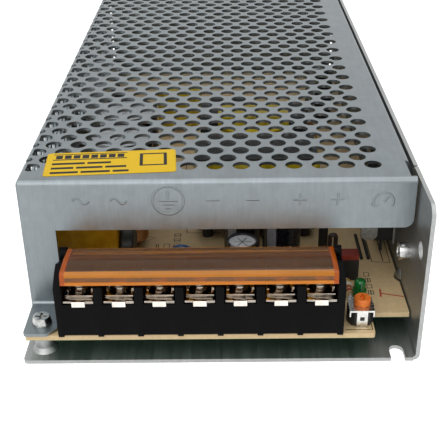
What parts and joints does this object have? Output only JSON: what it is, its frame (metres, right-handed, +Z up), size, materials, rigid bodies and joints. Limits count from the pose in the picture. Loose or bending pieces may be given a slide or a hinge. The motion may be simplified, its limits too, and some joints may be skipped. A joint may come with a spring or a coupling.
{
  "type": "mesh case switching power supply",
  "caption": "Enclosed switching power supply with a perforated folded cover, open terminal end, screw clamp barrier block, hinged guard, adjuster and indicator.",
  "frame": {"origin": "centre of the footprint at the underside of the base", "axes": "+X right seen from the terminal end, +Y from the terminal end towards the rear wall, +Z up through the perforated top"},
  "size_m": [0.0988, 0.1992, 0.0428],
  "materials": {
    "case_aluminium": "matt rolled sheet",
    "zinc_plated_steel": "bright zinc plate",
    "galvanised_steel": "galvanised sheet",
    "insulating_film": "thin film",
    "circuit_laminate": "solder side resist",
    "black_moulding": "moulded, matt",
    "nickel_plated_brass": "nickel plated",
    "amber_polycarbonate": "clear tinted",
    "trimmer_black": "moulded",
    "tinned_strap": "tinned",
    "orange_nylon": "moulded",
    "green_epoxy": "tinted epoxy",
    "resistor_coat": "lacquer",
    "dark_red_plastic": "moulded",
    "brown_wire": "sleeved",
    "black_sleeve": "sleeved",
    "amber_box_plastic": "moulded box",
    "dark_disc_coat": "dipped",
    "blue_disc_coat": "dipped",
    "can_sleeve": "shrink sleeve",
    "black_epoxy": "moulded epoxy",
    "ferrite": "matt",
    "yellow_tape": "polyester tape",
    "fuse_glass": "clear",
    "enamelled_copper": "enamelled",
    "plain_aluminium": "extruded",
    "silicone_pad": "soft",
    "grey_steel": "plated"
  },
  "bodies": {
    "case": {"chassis": "case_aluminium", "side_nuts": "zinc_plated_steel", "cover": "galvanised_steel", "cover_screws": "zinc_plated_steel", "insulation_sheet": "insulating_film", "circuit_board": "circuit_laminate", "board_screws": "zinc_plated_steel", "foot_screw": "zinc_plated_steel", "terminal_block": "black_moulding", "terminal_plates": "nickel_plated_brass", "trimmer_body": "trimmer_black", "trimmer_strap": "tinned_strap", "indicator_led": "green_epoxy", "led_resistor": "resistor_coat", "link_header": "trimmer_black", "link_cap": "dark_red_plastic", "shunt_loop": "brown_wire", "board_links": "black_sleeve", "mains_capacitor": "amber_box_plastic", "thermistor": "dark_disc_coat", "bypass_capacitor": "blue_disc_coat", "filter_capacitor": "can_sleeve", "output_capacitor_1": "can_sleeve", "output_capacitor_2": "can_sleeve", "output_capacitor_3": "can_sleeve", "upright_diode": "black_epoxy", "choke_core": "ferrite", "choke_tape": "yellow_tape", "transformer_core": "ferrite", "transformer_winding": "yellow_tape", "bulk_capacitor_1": "can_sleeve", "bulk_capacitor_2": "can_sleeve", "fuse": "fuse_glass", "fuse_clips": "tinned_strap", "line_choke": "enamelled_copper", "bridge_rectifier": "black_epoxy", "switching_heatsink": "plain_aluminium", "switching_transistors": "black_epoxy", "drive_transformer": "yellow_tape", "output_inductor": "enamelled_copper", "output_rectifier": "black_epoxy", "rectifier_pad": "silicone_pad", "rectifier_clamp": "grey_steel", "control_chip": "black_epoxy"},
    "clamp_1": {"clamp_washer_1": "zinc_plated_steel"},
    "screw_1": {"terminal_screw_1": "zinc_plated_steel"},
    "clamp_2": {"clamp_washer_2": "zinc_plated_steel"},
    "screw_2": {"terminal_screw_2": "zinc_plated_steel"},
    "clamp_3": {"clamp_washer_3": "zinc_plated_steel"},
    "screw_3": {"terminal_screw_3": "zinc_plated_steel"},
    "clamp_4": {"clamp_washer_4": "zinc_plated_steel"},
    "screw_4": {"terminal_screw_4": "zinc_plated_steel"},
    "clamp_5": {"clamp_washer_5": "zinc_plated_steel"},
    "screw_5": {"terminal_screw_5": "zinc_plated_steel"},
    "clamp_6": {"clamp_washer_6": "zinc_plated_steel"},
    "screw_6": {"terminal_screw_6": "zinc_plated_steel"},
    "clamp_7": {"clamp_washer_7": "zinc_plated_steel"},
    "screw_7": {"terminal_screw_7": "zinc_plated_steel"},
    "guard": {"terminal_cover": "amber_polycarbonate"},
    "adjuster": {"trimmer_rotor": "orange_nylon"}
  },
  "joints": [
    {"name": "clamp_1_lift", "type": "slide", "parent": "case", "child": "clamp_1", "axis": [0, 0, 1], "range_m": [0, 0.0024]},
    {"name": "screw_1_turn", "type": "hinge", "parent": "clamp_1", "child": "screw_1", "pos_m": [-0.03365, -0.0931, 0.02], "axis": [0, 0, 1], "range_deg": [0, 1440]},
    {"name": "clamp_2_lift", "type": "slide", "parent": "case", "child": "clamp_2", "axis": [0, 0, 1], "range_m": [0, 0.0024]},
    {"name": "screw_2_turn", "type": "hinge", "parent": "clamp_2", "child": "screw_2", "pos_m": [-0.02405, -0.0931, 0.02], "axis": [0, 0, 1], "range_deg": [0, 1440]},
    {"name": "clamp_3_lift", "type": "slide", "parent": "case", "child": "clamp_3", "axis": [0, 0, 1], "range_m": [0, 0.0024]},
    {"name": "screw_3_turn", "type": "hinge", "parent": "clamp_3", "child": "screw_3", "pos_m": [-0.01445, -0.0931, 0.02], "axis": [0, 0, 1], "range_deg": [0, 1440]},
    {"name": "clamp_4_lift", "type": "slide", "parent": "case", "child": "clamp_4", "axis": [0, 0, 1], "range_m": [0, 0.0024]},
    {"name": "screw_4_turn", "type": "hinge", "parent": "clamp_4", "child": "screw_4", "pos_m": [-0.00485, -0.0931, 0.02], "axis": [0, 0, 1], "range_deg": [0, 1440]},
    {"name": "clamp_5_lift", "type": "slide", "parent": "case", "child": "clamp_5", "axis": [0, 0, 1], "range_m": [0, 0.0024]},
    {"name": "screw_5_turn", "type": "hinge", "parent": "clamp_5", "child": "screw_5", "pos_m": [0.00475, -0.0931, 0.02], "axis": [0, 0, 1], "range_deg": [0, 1440]},
    {"name": "clamp_6_lift", "type": "slide", "parent": "case", "child": "clamp_6", "axis": [0, 0, 1], "range_m": [0, 0.0024]},
    {"name": "screw_6_turn", "type": "hinge", "parent": "clamp_6", "child": "screw_6", "pos_m": [0.01435, -0.0931, 0.02], "axis": [0, 0, 1], "range_deg": [0, 1440]},
    {"name": "clamp_7_lift", "type": "slide", "parent": "case", "child": "clamp_7", "axis": [0, 0, 1], "range_m": [0, 0.0024]},
    {"name": "screw_7_turn", "type": "hinge", "parent": "clamp_7", "child": "screw_7", "pos_m": [0.02395, -0.0931, 0.02], "axis": [0, 0, 1], "range_deg": [0, 1440]},
    {"name": "guard_hinge", "type": "hinge", "parent": "case", "child": "guard", "pos_m": [0, -0.0867, 0.0239], "axis": [-1, 0, 0], "range_deg": [0, 75]},
    {"name": "adjuster_turn", "type": "hinge", "parent": "case", "child": "adjuster", "pos_m": [0.03455, -0.0929, 0.0129], "axis": [0, 0, 1], "range_deg": [-105, 105]}
  ],
  "couplings": [
    {"joint": "screw_1_turn", "follows": "clamp_1_lift", "rad_per_m": 10472},
    {"joint": "screw_2_turn", "follows": "clamp_2_lift", "rad_per_m": 10472},
    {"joint": "screw_3_turn", "follows": "clamp_3_lift", "rad_per_m": 10472},
    {"joint": "screw_4_turn", "follows": "clamp_4_lift", "rad_per_m": 10472},
    {"joint": "screw_5_turn", "follows": "clamp_5_lift", "rad_per_m": 10472},
    {"joint": "screw_6_turn", "follows": "clamp_6_lift", "rad_per_m": 10472},
    {"joint": "screw_7_turn", "follows": "clamp_7_lift", "rad_per_m": 10472}
  ]
}
